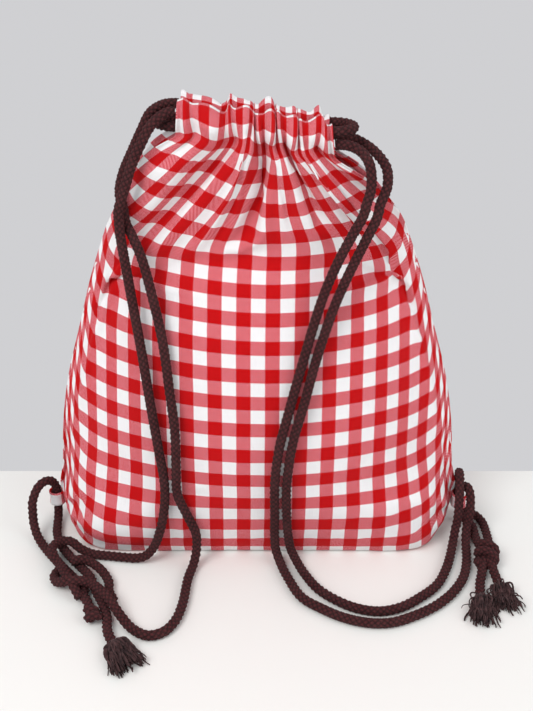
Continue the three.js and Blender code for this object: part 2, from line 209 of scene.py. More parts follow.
RIGHT_BACK_RUN = [
    (0.081, -0.0188, 0.264), (0.079, -0.021, 0.257), (0.074, -0.0235, 0.247),
    (0.063, -0.0275, 0.224), (0.0525, -0.035, 0.201), (0.0405, -0.045, 0.165),
    (0.033, -0.052, 0.136), (0.0255, -0.057, 0.108), (0.0215, -0.0595, 0.076),
    (0.0215, -0.0585, 0.048), (0.023, -0.056, 0.026), (0.025, -0.054, 0.0125),
    (0.029, -0.058, 0.005), (0.034, -0.07, 0.0038), (0.043, -0.087, 0.0038),
    (0.055, -0.099, 0.0038), (0.07, -0.108, 0.0038), (0.086, -0.111, 0.0038),
    (0.101, -0.107, 0.0038), (0.116, -0.097, 0.0038), (0.13, -0.084, 0.0038),
    (0.14, -0.066, 0.0038), (0.146, -0.05, 0.004), (0.1505, -0.036, 0.007), (0.153, -0.029, 0.013),
]
RIGHT_TAB_PASS_FRONT = [
    (0.1622, -0.027, 0.0155), (0.1632, -0.026, 0.023), (0.1636, -0.0235, 0.031),
    (0.1636, -0.019, 0.037), (0.163, -0.014, 0.0386), (0.1614, -0.0086, 0.037),
    (0.1597, -0.005, 0.032), (0.1593, -0.0043, 0.026), (0.1593, -0.0043, 0.02),
    (0.1596, -0.0046, 0.014), (0.1616, -0.006, 0.008), (0.1652, -0.0086, 0.0046),
    (0.167, -0.0105, 0.004),
]
RIGHT_TAB_PASS_BACK = [
    (0.154, -0.0273, 0.0155), (0.1546, -0.0255, 0.024), (0.155, -0.0225, 0.032),
    (0.1558, -0.017, 0.04), (0.1568, -0.01, 0.045), (0.1576, -0.0025, 0.0456),
    (0.1588, 0.0028, 0.0405), (0.1593, 0.0043, 0.033), (0.1593, 0.0043, 0.024),
    (0.1594, 0.0043, 0.0165), (0.1608, 0.0043, 0.011), (0.1646, 0.004, 0.0068),
    (0.17, 0.0016, 0.0044), (0.173, -0.0005, 0.004),
]
RIGHT_RETURN_FRONT = [
    (0.1683, -0.0124, 0.0038), (0.1694, -0.018, 0.0038), (0.169, -0.03, 0.0038),
    (0.1695, -0.042, 0.005),
]
RIGHT_RETURN_BACK = [
    (0.1746, -0.0021, 0.0038), (0.1778, -0.009, 0.0038), (0.1785, -0.022, 0.0038),
    (0.177, -0.041, 0.005),
]
RIGHT_TAIL_FRONT = [
    (0.1652, -0.0708, 0.0046), (0.1615, -0.082, 0.0038), (0.1585, -0.097, 0.004),
]
RIGHT_TAIL_BACK = [
    (0.1739, -0.0704, 0.0046), (0.1745, -0.079, 0.0039), (0.1745, -0.086, 0.004),
]

# Inside the knots, where one strand rides over another
LEFT_OVER_KNOT = [
    (-0.1400, -0.0770, 0.0110), (-0.1352, -0.0850, 0.0112), (-0.1295, -0.0925, 0.0085),
    (-0.1250, -0.0985, 0.0045),
]
LEFT_ROUND_KNOT = [
    (-0.1235, -0.0895, 0.0122), (-0.1305, -0.0895, 0.0128), (-0.1380, -0.0880, 0.0100),
    (-0.1448, -0.0825, 0.0055), (-0.1480, -0.0745, 0.0040), (-0.1462, -0.0680, 0.0040),
]
LEFT_CORE_UNDER = [(-0.1230, -0.0905, 0.0040), (-0.1280, -0.0835, 0.0040), (-0.1345, -0.0755, 0.0038)]
LEFT_CORE_BESIDE = [(-0.1262, -0.0700, 0.0042), (-0.1205, -0.0785, 0.0048)]
LEFT_SIDE_LOOP = [
    (-0.1370, -0.0660, 0.0100), (-0.1290, -0.0640, 0.0105), (-0.1195, -0.0660, 0.0070),
    (-0.1115, -0.0730, 0.0042), (-0.1070, -0.0820, 0.0038), (-0.1055, -0.0910, 0.0038),
    (-0.1010, -0.1000, 0.0038),
]
RIGHT_CORE_FRONT = [(0.1700, -0.0490, 0.0062), (0.1722, -0.0580, 0.0085), (0.1735, -0.0660, 0.0062)]
RIGHT_CORE_BACK = [(0.1752, -0.0480, 0.0070), (0.1695, -0.0590, 0.0070), (0.1662, -0.0660, 0.0056)]

# ---------------------------------------------------------------- material helpers


def new_material(name, roughness, sheen=0.0):
    """A material with a principled shader whose steady values sit on its own sockets."""
    material = bpy.data.materials.new(name)
    material.use_nodes = True
    shader = material.node_tree.nodes["Principled BSDF"]
    shader.inputs["Roughness"].default_value = roughness
    shader.inputs["Specular IOR Level"].default_value = 0.15
    shader.inputs["Sheen Weight"].default_value = sheen
    shader.inputs["Sheen Roughness"].default_value = 0.6
    return material, shader


class Graph:
    """Short forms for the nodes of one material."""

    def __init__(self, material):
        self.tree = material.node_tree

    def node(self, kind, **settings):
        made = self.tree.nodes.new(kind)
        for key, value in settings.items():
            setattr(made, key, value)
        return made

    def link(self, source, target):
        self.tree.links.new(source, target)

    def put(self, value, socket):
        if isinstance(value, bpy.types.NodeSocket):
            self.link(value, socket)
        else:
            socket.default_value = value

    def maths(self, operation, *values):
        made = self.node("ShaderNodeMath", operation=operation)
        for value, socket in zip(values, made.inputs):
            self.put(value, socket)
        return made.outputs[0]

    def mix(self, share, a, b, blend="MIX"):
        made = self.node("ShaderNodeMix", data_type="RGBA", blend_type=blend)
        self.put(share, made.inputs["Factor"])
        self.put(a, made.inputs["A"])
        self.put(b, made.inputs["B"])
        return made.outputs["Result"]

    def uv(self, layer):
        """A UV layer, whole and as its two coordinates."""
        source = self.node("ShaderNodeUVMap", uv_map=layer)
        parts = self.node("ShaderNodeSeparateXYZ")
        self.link(source.outputs[0], parts.inputs[0])
        return source.outputs[0], parts.outputs[0], parts.outputs[1]

    def noise(self, vector, scale, detail=2.0, stretch=None):
        if stretch:
            scaled = self.node("ShaderNodeMapping")
            scaled.inputs["Scale"].default_value = stretch
            self.link(vector, scaled.inputs["Vector"])
            vector = scaled.outputs[0]
        made = self.node("ShaderNodeTexNoise")
        made.inputs["Scale"].default_value = scale
        made.inputs["Detail"].default_value = detail
        self.link(vector, made.inputs["Vector"])
        return made.outputs["Fac"]

    def ramp(self, value, *stops):
        made = self.node("ShaderNodeValToRGB")
        for (place, colour), stop in zip(stops, made.color_ramp.elements):
            stop.position = place
            stop.color = colour
        self.link(value, made.inputs[0])
        return made.outputs[0]

    def bump(self, height, distance, strength=1.0):
        made = self.node("ShaderNodeBump")
        made.inputs["Distance"].default_value = distance
        made.inputs["Strength"].default_value = strength
        self.link(height, made.inputs["Height"])
        return made.outputs[0]


def slanted(graph, a, b):
    """0 or 1 in turn over the cells of two slanted families of strands."""
    cell = graph.maths("ADD", graph.maths("FLOOR", a), graph.maths("FLOOR", b))
    return graph.maths("FLOORED_MODULO", cell, 2.0)


def cord_material():
    """Dark brown braided cotton: twisted yarns in each strand, with lighter worn flecks; painted shade
    darkens the gaps between strands and the grooves between yarns, so the crowns read lighter.
    """
    material, shader = new_material("brown_braid", 0.95, sheen=0.02)
    graph = Graph(material)
    _, around, along = graph.uv("braid")
    a = graph.maths("ADD", around, along)
    b = graph.maths("SUBTRACT", around, along)
    on_top = slanted(graph, a, b)
    across = graph.mix(on_top, b, a)
    lengthwise = graph.mix(on_top, a, b)
    twist = graph.maths("ADD", graph.maths("MULTIPLY", across, 3.0), graph.maths("MULTIPLY", lengthwise, 2.0))
    yarn = graph.maths("ABSOLUTE", graph.maths("SINE", graph.maths("MULTIPLY", twist, math.pi)))
    crown = graph.maths("SINE", graph.maths("MULTIPLY", graph.maths("FRACT", across), math.pi))
    place = graph.node("ShaderNodeTexCoord").outputs["Object"]
    patches = graph.noise(place, 90.0, 3.0)
    fluff = graph.noise(place, 1700.0, 3.0)
    # The darkest colour is painted shade for the gaps between strands and yarns; middle is the cord's own
    # brown on the crowns.
    painted_gap_shade = (0.004, 0.001, 0.0015, 1)
    middle = (0.088, 0.015, 0.018, 1)
    pale = (0.16, 0.070, 0.070, 1)
    swell = graph.maths("SINE", graph.maths("MULTIPLY", graph.maths("FRACT", lengthwise), math.pi))
    crown = graph.maths("MULTIPLY", crown, graph.maths("ADD", graph.maths("MULTIPLY", swell, 0.6), 0.4))
    # Painted shade: shade falls from 1 on a strand's crown to 0 in the gaps and the grooves between yarns,
    # and the colour runs from the gap shade to middle with it.
    shade = graph.maths("MULTIPLY", crown, graph.maths("ADD", graph.maths("MULTIPLY", yarn, 0.35), 0.65))
    base = graph.mix(graph.maths("POWER", shade, 1.4), painted_gap_shade, middle)
    worn = graph.maths("MULTIPLY", graph.maths("MULTIPLY", fluff, fluff), graph.maths("ADD", patches, 0.1))
    colour = graph.mix(worn, base, pale)
    graph.link(colour, shader.inputs["Base Color"])
    height = graph.maths("ADD", graph.maths("MULTIPLY", yarn, 0.5), graph.maths("MULTIPLY", fluff, 0.9))
    graph.link(graph.bump(height, 0.0003, 0.8), shader.inputs["Normal"])
    return material


def yarn_material():
    """The loose yarns of the unravelled ends, the same cotton without the braid."""
    material, shader = new_material("brown_yarn", 0.95, sheen=0.06)
    graph = Graph(material)
    place = graph.node("ShaderNodeTexCoord").outputs["Object"]
    shade = graph.noise(place, 260.0, 3.0)
    colour = graph.ramp(shade, (0.3, (0.014, 0.006, 0.007, 1)), (0.75, (0.105, 0.050, 0.050, 1)))
    graph.link(colour, shader.inputs["Base Color"])
    graph.link(graph.bump(graph.noise(place, 2400.0), 0.0001, 0.6), shader.inputs["Normal"])
    return material


def gingham_material():
    """Cotton gingham on the flat cloth's own grid.

    A square is red where both sets of threads are red, white where neither is, and slanted red
    lines over pink where one is, as a twill shows them. The relief is that of a 2/2 twill.
    """
    material, shader = new_material("gingham", 0.9, sheen=0.03)
    graph = Graph(material)
    uv, across, up = graph.uv("cloth")
    warp_index = graph.maths("FLOOR", graph.maths("DIVIDE", across, THREAD))
    weft_index = graph.maths("FLOOR", graph.maths("DIVIDE", up, THREAD))
    step = graph.maths("FLOORED_MODULO", graph.maths("ADD", warp_index, weft_index), 4.0)
    warp_on_top = graph.maths("LESS_THAN", step, 1.5)

    def is_red(coordinate):
        square = graph.maths("FLOOR", graph.maths("DIVIDE", coordinate, CHECK))
        return graph.maths("FLOORED_MODULO", square, 2.0)

    slub_warp = graph.noise(uv, 1.0, 2.0, stretch=(2600.0, 110.0, 1.0))
    slub_weft = graph.noise(uv, 1.0, 2.0, stretch=(110.0, 2600.0, 1.0))
    red_warp, red_weft = is_red(across), is_red(up)
    both_red = graph.maths("MULTIPLY", red_warp, red_weft)
    one_red = graph.maths("ABSOLUTE", graph.maths("SUBTRACT", red_warp, red_weft))
    sum_of_threads = graph.maths("DIVIDE", graph.maths("ADD", across, up), 4 * THREAD)
    on_line = graph.maths("LESS_THAN", graph.maths("FRACT", sum_of_threads), RED_SHARE)
    top_is_red = graph.maths("MAXIMUM", both_red, graph.maths("MULTIPLY", one_red, on_line))
    slub = graph.mix(warp_on_top, slub_weft, slub_warp)
    white = graph.ramp(slub, (0.2, (0.77, 0.755, 0.765, 1)), (0.8, (0.93, 0.92, 0.925, 1)))
    red = graph.ramp(slub, (0.2, (0.42, 0.0004, 0.0012, 1)), (0.8, (0.60, 0.0015, 0.004, 1)))
    blushed = graph.mix(one_red, white, (0.88, 0.40, 0.46, 1))
    graph.link(graph.mix(top_is_red, blushed, red), shader.inputs["Base Color"])

    def roundness(coordinate):
        share = graph.maths("FRACT", graph.maths("DIVIDE", coordinate, THREAD))
        return graph.maths("SINE", graph.maths("MULTIPLY", share, math.pi))

    threads = graph.mix(warp_on_top, roundness(up), roundness(across))
    height = graph.maths("ADD", threads, graph.maths("MULTIPLY", slub, 0.8))
    graph.link(graph.bump(height, 0.00012, 0.55), shader.inputs["Normal"])
    return material


brown_braid = cord_material()
brown_yarn = yarn_material()
gingham = gingham_material()

# ---------------------------------------------------------------- mesh helpers


def add_mesh(name, points, faces, material, uv_name=None, uv=None, smooth=True):
    """An object from points and faces; uv gives a coordinate pair for every corner of every face."""
    mesh = bpy.data.meshes.new(name)
    mesh.from_pydata([tuple(p) for p in points], [], faces)
    if uv is not None:
        layer = mesh.uv_layers.new(name=uv_name)
        layer.data.foreach_set("uv", np.asarray(uv, float).ravel())
    mesh.materials.append(material)
    mesh.polygons.foreach_set("use_smooth", [smooth] * len(mesh.polygons))
    mesh.update()
    made = bpy.data.objects.new(name, mesh)
    bpy.context.collection.objects.link(made)
    return made


def smooth_line(points, step):
    """A centripetal Catmull-Rom curve through the points, with the control index of each sample."""
    points = np.asarray(points, float)
    points = np.vstack([2 * points[0] - points[1], points, 2 * points[-1] - points[-2]])
    samples, places = [], []
    for i in range(1, len(points) - 2):
        p = points[i - 1 : i + 3]
        knots = np.concatenate([[0], np.cumsum(np.linalg.norm(np.diff(p, axis=0), axis=1) ** 0.5)])
        t = np.linspace(knots[1], knots[2], 25)[:-1, None]
        a = [
            (knots[k + 1] - t) / (knots[k + 1] - knots[k]) * p[k]
            + (t - knots[k]) / (knots[k + 1] - knots[k]) * p[k + 1]
            for k in range(3)
        ]
        b = [
            (knots[k + 2] - t) / (knots[k + 2] - knots[k]) * a[k]
            + (t - knots[k]) / (knots[k + 2] - knots[k]) * a[k + 1]
            for k in range(2)
        ]
        gap = knots[2] - knots[1]
        samples.append((knots[2] - t) / gap * b[0] + (t - knots[1]) / gap * b[1])
        places.append(i - 1 + (t[:, 0] - knots[1]) / gap)
    samples = np.vstack([*samples, points[-2]])
    places = np.concatenate([*places, [len(points) - 3]])
    run = np.concatenate([[0], np.cumsum(np.linalg.norm(np.diff(samples, axis=0), axis=1))])
    even = np.linspace(0, run[-1], max(3, round(run[-1] / step) + 1))
    line = np.column_stack([np.interp(even, run, samples[:, k]) for k in range(samples.shape[1])])
    return line, np.interp(even, run, places)


def carried_frames(line):
    """Two directions across the line at every point, turned as little as possible along it."""
    tangents = np.gradient(line, axis=0)
    tangents /= np.linalg.norm(tangents, axis=1)[:, None]
    side = np.cross(tangents[0], (0.3, 0.2, 1.0))
    first, second = [], []
    for tangent in tangents:
        side = side - tangent * (side @ tangent)
        side = side / np.linalg.norm(side)
        first.append(side)
        second.append(np.cross(tangent, side))
    return np.array(first), np.array(second)


def braid_height(around, along):
    """The relief of a round braid, from 0 in the gaps to 1 on a strand's crown."""
    a = around + along
    b = around - along
    on_top = (np.floor(a) + np.floor(b)) % 2 > 0.5
    across = np.where(on_top, a, b) % 1
    lengthwise = np.where(on_top, b, a) % 1
    return np.sin(np.pi * across) ** 0.8 * (0.45 + 0.55 * np.sin(np.pi * lengthwise))


def braided_tube(name, line, side, up, start, radius=CORD_R):
    """One piece of braided cord along part of a line; start is the length of cord before it."""
    steps = np.linalg.norm(np.diff(line, axis=0), axis=1)
    along = (start + np.concatenate([[0], np.cumsum(steps)])) / BRAID_PITCH
    angle = 2 * math.pi * np.arange(RING_SIDES) / RING_SIDES
    around = BRAID_STRANDS * np.arange(RING_SIDES) / RING_SIDES
    height = braid_height(around[None, :], along[:, None])
    reach = radius + BRAID_FUZZ - BRAID_RELIEF * (1 - height)
    ring = side[:, None, :] * np.cos(angle)[None, :, None] + up[:, None, :] * np.sin(angle)[None, :, None]
    points = (line[:, None, :] + ring * reach[:, :, None]).reshape(-1, 3)
    faces, uv = [], []
    for i in range(len(line) - 1):
        for j in range(RING_SIDES):
            k = (j + 1) % RING_SIDES
            low, high = i * RING_SIDES, (i + 1) * RING_SIDES
            faces.append((low + j, low + k, high + k, high + j))
            left, right = around[j], around[j] + BRAID_STRANDS / RING_SIDES
            uv += [(left, along[i]), (right, along[i]), (right, along[i + 1]), (left, along[i + 1])]
    last = (len(line) - 1) * RING_SIDES
    for rim, centre in ((range(RING_SIDES - 1, -1, -1), 0), (range(last, last + RING_SIDES), -1)):
        faces.append(tuple(rim))
        uv += [(around[r % RING_SIDES], along[centre]) for r in rim]
    return add_mesh(f"{name}_braid", points, faces, brown_braid, "braid", uv)


# ---------------------------------------------------------------- cords


def casing_z(x):
    return CASING_Z - CASING_FALL * x


def casing_loop(far_end, level):
    """The hidden part of a cord: through the front casing, round its far end, and back."""
    ends = [-far_end * CASING_HALF * 0.98, far_end * CASING_HALF * 0.98]
    middle_y = (CASING_FRONT_Y + CASING_BACK_Y) / 2
    radius = (CASING_BACK_Y - CASING_FRONT_Y) / 2
    through = np.linspace(ends[0], ends[1], 6)
    front = [(x, CASING_FRONT_Y, casing_z(x) + level) for x in through]
    back = [(x, CASING_BACK_Y, casing_z(x) + level) for x in through[::-1]]
    bight = []
    for angle in np.radians(np.linspace(-90, 90, 9)):
        x = far_end * (CASING_HALF + 0.0004 + radius * math.cos(angle))
        z = casing_z(far_end * CASING_HALF) + level
        bight.append((x, middle_y + radius * math.sin(angle), z))
    return front, bight[:5], bight[5:], back


SHOULDER = 3  # this many points of a left strap lie where it bends at the shoulder
RIGHT_SHOULDER = 4
FOOT = 5  # and this many of a right strap where it bends at the corner tab


def left_strand(face, neck, run, in_knot, knot_route):
    """A strand of the left cord, from the casing into its knot."""
    return [
        (f"left_{face}_neck", neck),
        (f"left_{face}_shoulder", run[:SHOULDER]),
        (f"left_{face}_strap", run[SHOULDER:]),
        (in_knot, knot_route),
    ]


def right_strand(face, neck, run, tab_pass, back_again, core, tail_face, tail):
    """A strand of the right cord, from the casing through the corner tab and the knot to its tail."""
    return [
        (f"right_{face}_neck", neck),
        (f"right_{face}_shoulder", run[:RIGHT_SHOULDER]),
        (f"right_{face}_strap", run[RIGHT_SHOULDER:-FOOT]),
        (f"right_{face}_foot", run[-FOOT:]),
        (f"right_tab_pass_{face}", tab_pass),
        (f"right_return_{face}", back_again),
        (f"right_knot_core_{face}", core),
        (f"right_tail_{tail_face}", tail),
    ]


def casing_strand(side, far_end, level):
    """The hidden loop of one cord in the two casings."""
    names = ("front_casing_run", "front_bight", "back_bight", "back_casing_run")
    return [(f"{side}_cord_{name}", part) for name, part in zip(names, casing_loop(far_end, level))]


LEFT_CORE = [
    ("left_stub", LEFT_STUB[::-1]),
    ("left_knot_under", LEFT_CORE_UNDER),
    ("left_tab_riser", LEFT_RISER),
    ("left_tab_pass", LEFT_TAB_PASS),
    ("left_tab_return", LEFT_RETURN),
    ("left_knot_beside", LEFT_CORE_BESIDE),
    ("left_tail", LEFT_TAIL),
]
STRANDS = [
    left_strand("front", LEFT_FRONT_NECK, LEFT_FRONT_RUN, "left_knot_over", LEFT_OVER_KNOT),
    left_strand("back", LEFT_BACK_NECK, LEFT_BACK_RUN, "left_knot_round", LEFT_ROUND_KNOT),
    LEFT_CORE,
    [("left_knot_side_loop", LEFT_SIDE_LOOP)],
    right_strand(
        "front", RIGHT_FRONT_NECK, RIGHT_FRONT_RUN, RIGHT_TAB_PASS_FRONT, RIGHT_RETURN_FRONT,
        RIGHT_CORE_FRONT, "back", RIGHT_TAIL_BACK,
    ),
    right_strand(
        "back", RIGHT_BACK_NECK, RIGHT_BACK_RUN, RIGHT_TAB_PASS_BACK, RIGHT_RETURN_BACK,
        RIGHT_CORE_BACK, "front", RIGHT_TAIL_FRONT,
    ),
    casing_strand("left", 1, CORD_LEVEL),
    casing_strand("right", -1, -CORD_LEVEL),
]

pieces = {}
paths = {}


def make_strand(segments):
    """One unbroken braid, cut into its pieces half way between their nearest points."""
    line, place = smooth_line([p for _, points in segments for p in points], RING_STEP)
    line[:, 2] = line[:, 2].clip(LYING_Z, None)
    side, up = carried_frames(line)
    run = np.concatenate([[0], np.cumsum(np.linalg.norm(np.diff(line, axis=0), axis=1))])
    first, used = 0, 0
    for name, points in segments:
        used += len(points)
        last = min(int(np.searchsorted(place, used - 0.5)), len(line) - 1)
        part = slice(first, last + 1)
        pieces[name] = braided_tube(name, line[part], side[part], up[part], run[first])
        paths[name] = line[part]
        first = last


for strand in STRANDS:
    make_strand(strand)


def wrap(name, start, end, wide, tall, turns, turn_from=0.0):
    """A tight coil of the same cord around a knot, from start to end of its axis."""
    start, end = np.array(start), np.array(end)
    axis = (end - start) / np.linalg.norm(end - start)
    level = np.cross(axis, (0, 0, 1))
    level /= np.linalg.norm(level)
    points = []
    for share in np.linspace(0, 1, round(turns * 10) + 1):
        angle = turn_from + 2 * math.pi * turns * share
        centre = start + (end - start) * share
        points.append(centre + level * wide * math.cos(angle) + np.array((0, 0, tall)) * math.sin(angle))
    line, _ = smooth_line(points, RING_STEP)
    side, up = carried_frames(line)
    pieces[name] = braided_tube(name, line, side, up, 0.0, CORD_R * 0.97)


wrap("right_knot_wrap", (0.1730, -0.0490, 0.0092), (0.1690, -0.0650, 0.0092), 0.0064, 0.0048, 1.9, 0.6)
wrap("left_bulb_wrap", (-0.1150, -0.1130, 0.0062), (-0.1108, -0.1215, 0.0060), 0.0031, 0.0020, 1.5, 0.4)


def loose_yarns(name, start, heading, length, spread, count, curl, seed):
    """A frayed end: thin yarns that fan out from the cord's cut and settle on the floor."""
    chance = np.random.default_rng(seed)
    start = np.array(start)
    heading = np.array(heading) / np.linalg.norm(heading)
    level = np.cross(heading, (0, 0, 1))
    points, faces = [], []
    for _ in range(count):
        turn = chance.uniform(0, 2 * math.pi)
        out = math.sqrt(chance.uniform(0, 1))
        root = start + level * out * 0.0028 * math.cos(turn) + np.array((0, 0, out * 0.0024 * math.sin(turn)))
        reach = length * chance.uniform(0.6, 1.0)
        fan = level * spread * out * math.cos(turn) + np.array((0, 0, 0.35 * spread * out * math.sin(turn)))
        wave = chance.normal(0, curl, 3)
        thick = chance.uniform(0.0004, 0.00095)
        line = []
        for share in np.linspace(0, 1, 8):
            sway = wave * math.sin(math.pi * share * 1.6) + chance.normal(0, 0.0002, 3)
            point = root + heading * reach * share + fan * share**0.7 + sway
            floor = thick + 0.0002 + 0.35 * max(0.0, root[2] - 0.002) * (1 - share)
            point[2] = max(point[2] - 0.35 * root[2] * share**2, floor)
            line.append(point)
        line, _ = smooth_line(line, 0.0014)
        side, up = carried_frames(line)
        base, sides = len(points), 6
        for i, (p, s, u) in enumerate(zip(line, side, up)):
            taper = thick * (1 - 0.45 * (i / len(line)) ** 2)
            for j in range(sides):
                angle = 2 * math.pi * (j / sides + 0.08 * i)
                points.append(p + (s * math.cos(angle) + u * math.sin(angle)) * taper)
        for i in range(len(line) - 1):
            for j in range(sides):
                k = (j + 1) % sides
                low = base + i * sides
                faces.append((low + j, low + k, low + sides + k, low + sides + j))
        faces.append(tuple(base + j for j in range(sides - 1, -1, -1)))
        faces.append(tuple(len(points) - sides + j for j in range(sides)))
    pieces[name] = add_mesh(f"{name}_yarns", points, faces, brown_yarn)


loose_yarns("left_frayed_end", (-0.0950, -0.1415, 0.0046), (0.55, -0.85, 0), 0.027, 0.0105, 170, 0.0016, 3)
loose_yarns("right_frayed_front", (0.1588, -0.0960, 0.0042), (-0.12, -1, 0), 0.027, 0.0080, 150, 0.0018, 5)
loose_yarns("right_frayed_back", (0.1745, -0.0850, 0.0044), (0.05, -1, 0), 0.024, 0.0060, 150, 0.0026, 8)

# ---------------------------------------------------------------- cloth: start, fall, finish

SIM_FRAMES = 40
COLUMNS = round(CLOTH_WIDE / GRID)
ROWS = round(CLOTH_TALL / GRID)
PLEAT_WIDE = 0.027  # flat cloth in one pleat of the gather
PLEAT_DEEP = 0.0078
CASING_WAVE = 0.0015  # how far the casing's edges wander up and down
DRAG_DEEP = 0.0075  # the folds that the corner tabs drag into the cloth
NECK_TAKE_UP = 0.15  # how much of the neck's width the smallest puckers take up
SIDE_TAKE_UP = 0.075  # how much shorter the cloth is along the side seams, which pucker it
# Broad folds that fan out from the gather: u at the casing, u at the shoulder, how far the fold
# stands out (or in, if negative), half width in u, and the height where it fades out
FOLDS = [
    (-0.80, -0.98, 0.007, 0.10, 0.225),
    (-0.55, -0.72, -0.007, 0.09, 0.215),
    (-0.32, -0.44, 0.011, 0.12, 0.210),
    (-0.08, -0.12, -0.013, 0.10, 0.205),
    (0.14, 0.20, 0.007, 0.10, 0.225),
    (0.34, 0.46, -0.008, 0.08, 0.225),
    (0.60, 0.78, 0.012, 0.13, 0.210),
    (0.84, 0.97, -0.006, 0.07, 0.220),
]
CASING_ROWS = 12
GATHER_FROM = 0.315  # how far up the flat cloth its middle begins to gather
CUT_TALL = CLOTH_TALL * (1 + CASING_ROWS / ROWS)  # one panel with the cloth of its casing, flat

station_line, _ = smooth_line(STATIONS, 0.001)
SHOULDER_Z = 0.21  # the gather's folds begin here
SEAM_TOP = 0.246  # the side seams end here, and the front and the back of the neck part


def station(z, k):
    return np.interp(z, station_line[:, 0], station_line[:, k])


def ease(value, low, high):
    share = np.clip((value - low) / (high - low), 0, 1)
    return share * share * (3 - 2 * share)


def skin(u, z, outward, inset=0.0):
    """A point of the filled sack's skin: u from -1 to 1 across it, outward -1 for the front."""
    half, front, back = (station(z, k) for k in (1, 2, 3))
    seam = (front + back) / 2
    depth = (back - front) / 2
    edge = depth * ease(z, SEAM_TOP, FOOT_Z)
    fullness = BASE_FULLNESS + (FULLNESS - BASE_FULLNESS) * ease(z, 0, BASE_TALL)
    bulge = edge + (depth - edge) * (1 - np.abs(u) ** fullness)
    x = u * (half - inset)
    fall = CASING_FALL * x * ease(z, SEAM_TOP, FOOT_Z)
    return np.stack([x, seam + outward * (bulge - inset), z - fall], axis=-1)


def gathered_share(u):
    """Where a thread of the flat cloth lies along the casing: loosest at the left end."""
    table = np.linspace(-1, 1, 201)
    room = 0.75 + 1.1 * ease(-table, 0.3, 1.0) + 0.5 * ease(table, 0.6, 1.0)
    along = np.cumsum(room) - room[0]
    return np.interp(u, table, 2 * along / along[-1] - 1)


def pleat(u, back):
    """The ruffle of the gather, from 0 in a fold to 1 on a crest, uneven along the casing."""
    flat = u * CLOTH_WIDE / 2 + (0.011 if back else 0)
    uneven = 0.0045 * np.sin(41 * flat + 1.0) + 0.0035 * np.sin(97 * flat + 2.0)
    depth = 0.72 + 0.28 * np.sin(63 * flat + 0.4) * np.cos(29 * flat)
    return np.abs(np.sin(math.pi * (flat + uneven) / PLEAT_WIDE)) ** 0.7 * depth


def broad_folds(u, height, mirrored):
    """How far the broad folds of the neck stand out, for a grid of u and height."""
    rise = ease(height, SHOULDER_Z, FOOT_Z)
    total = np.zeros_like(height)
    for top, low, depth, width, fade in FOLDS:
        if mirrored:
            top, low = -top, -low
        middle = low + (top - low) * rise
        near = np.exp(-(((u - middle) / width) ** 2))
        total += depth * near * ease(height, fade, 0.262) * (1 - 0.6 * ease(height, 0.285, FOOT_Z))
    return total


def start_column(u, outward):
    """The start shape of one column of cloth, from the bottom seam to the foot of the casing."""
    base = np.linspace(0, 1, 12)[:-1, None]
    rim = skin(np.array(u), np.array(0.0), outward)
    seam_point = rim * (1, 0, 1)
    under = seam_point + (rim - seam_point) * base
    z = np.linspace(0, FOOT_Z, 220)
    rise = skin(np.full_like(z, u), z, outward)
    column = np.vstack([under, rise])
    corner = abs(u) ** 24
    column[:, 2] += corner * 0.012 * (1 - ease(column[:, 2], 0, 0.05)) + 0.0012
    spread = np.sign(u) * corner * 0.006 * ease(column[:, 2], 0, 0.016)
    column[:, 0] += spread * (1 - ease(column[:, 2], 0.024, 0.06))
    run = np.concatenate([[0], np.cumsum(np.linalg.norm(np.diff(column, axis=0), axis=1))])
    even = np.linspace(0, run[-1], ROWS + 1)
    return np.column_stack([np.interp(even, run, column[:, k]) for k in range(3)])


def evenly_spaced(line):
    """The same line with its points at even distances."""
    run = np.concatenate([[0], np.cumsum(np.linalg.norm(np.diff(line, axis=0), axis=1))])
    even = np.linspace(0, run[-1], len(line))
    return np.column_stack([np.interp(even, run, line[:, k]) for k in range(3)])


def start_panel(outward):
    us = np.linspace(-1, 1, COLUMNS + 1)
    grid = np.stack([evenly_spaced(row) for row in np.stack([start_column(u, outward) for u in us], axis=1)])
    height = grid[:, :, 2] + CASING_FALL * grid[:, :, 0] * ease(grid[:, :, 2], SEAM_TOP, FOOT_Z)
    gather = ease(height, 0.232, FOOT_Z)
    shifted = gathered_share(us)[None, :] * station(height, 1)
    grid[:, :, 0] += (shifted - grid[:, :, 0]) * gather
    ruffle = (pleat(us, outward > 0)[None, :] - 0.5) * PLEAT_DEEP * ease(height, 0.270, FOOT_Z)
    folds = broad_folds(us[None, :], height, outward > 0)
    grid[:, :, 1] += outward * (ruffle + folds)
    wavy = np.sin(us * 11 + 0.6 * outward) + 0.6 * np.sin(us * 23 + 1.9)
    grid[:, :, 2] += CASING_WAVE * wavy[None, :] * ease(height, 0.280, FOOT_Z)
    return grid


def grid_index(shared_rows):
    """Vertex numbers of the two panels; they share the bottom seam and the side seams."""
    front = np.arange((ROWS + 1) * (COLUMNS + 1)).reshape(ROWS + 1, COLUMNS + 1)
    back = front + front.size
    back[0] = front[0]
    back[:shared_rows, 0] = front[:shared_rows, 0]
    back[:shared_rows, -1] = front[:shared_rows, -1]
    return front, back


def quads(index, flip):
    a, b, c, d = index[:-1, :-1], index[:-1, 1:], index[1:, 1:], index[1:, :-1]
    order = (a, d, c, b) if flip else (a, b, c, d)
    return np.stack(order, axis=-1).reshape(-1, 4).tolist()


